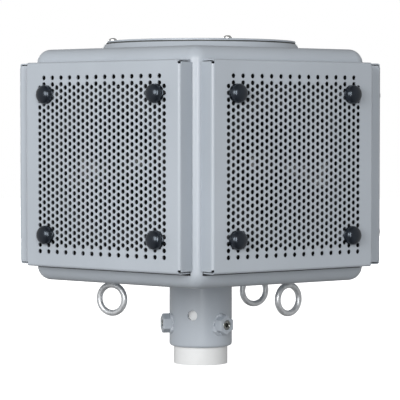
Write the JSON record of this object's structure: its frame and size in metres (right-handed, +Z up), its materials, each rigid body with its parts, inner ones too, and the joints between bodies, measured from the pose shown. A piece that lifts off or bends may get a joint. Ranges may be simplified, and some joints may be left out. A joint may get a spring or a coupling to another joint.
{
  "type": "siren speaker head",
  "caption": "Five-sided omnidirectional siren speaker head with perforated grilles, a round lid, lifting eyes and a clamp sleeve on a stub of round mast.",
  "frame": {"origin": "on the mast axis, in the plane of the mast stub's lower end", "axes": "+Z up along the mast, -Y towards one corner of the five-sided cabinet, the one between the two front grilles"},
  "size_m": [0.5072, 0.4904, 0.4592],
  "materials": {
    "grey_paint": "satin powder coat",
    "white_paint": "gloss paint",
    "black_plastic": "moulded",
    "galvanised": "hot-dip galvanised",
    "stainless": "bright",
    "gasket_rubber": "moulded",
    "driver_frame": "matt",
    "driver_cone": "glossy pressed sheet",
    "driver_dome": "pressed, same sheet as the cone"
  },
  "bodies": {
    "root": {"cabinet": "grey_paint", "lid_ring": "grey_paint", "lid_gasket": "gasket_rubber", "lid_plate": "grey_paint", "lid_screws": "stainless", "mast_stub": "white_paint", "mast_socket": "grey_paint", "clamp_bosses": "grey_paint", "set_screws": "stainless", "eye_bolts": "galvanised", "standoffs": "galvanised", "driver_frames": "driver_frame", "driver_cones": "driver_cone", "driver_domes": "driver_dome", "grille_front_right": "grey_paint", "grille_rear_right": "grey_paint", "grille_rear": "grey_paint", "grille_rear_left": "grey_paint", "grille_front_left": "grey_paint", "knobs_front_right": "black_plastic", "knobs_rear_right": "black_plastic", "knobs_rear": "black_plastic", "knobs_rear_left": "black_plastic", "knobs_front_left": "black_plastic"}
  },
  "joints": []
}
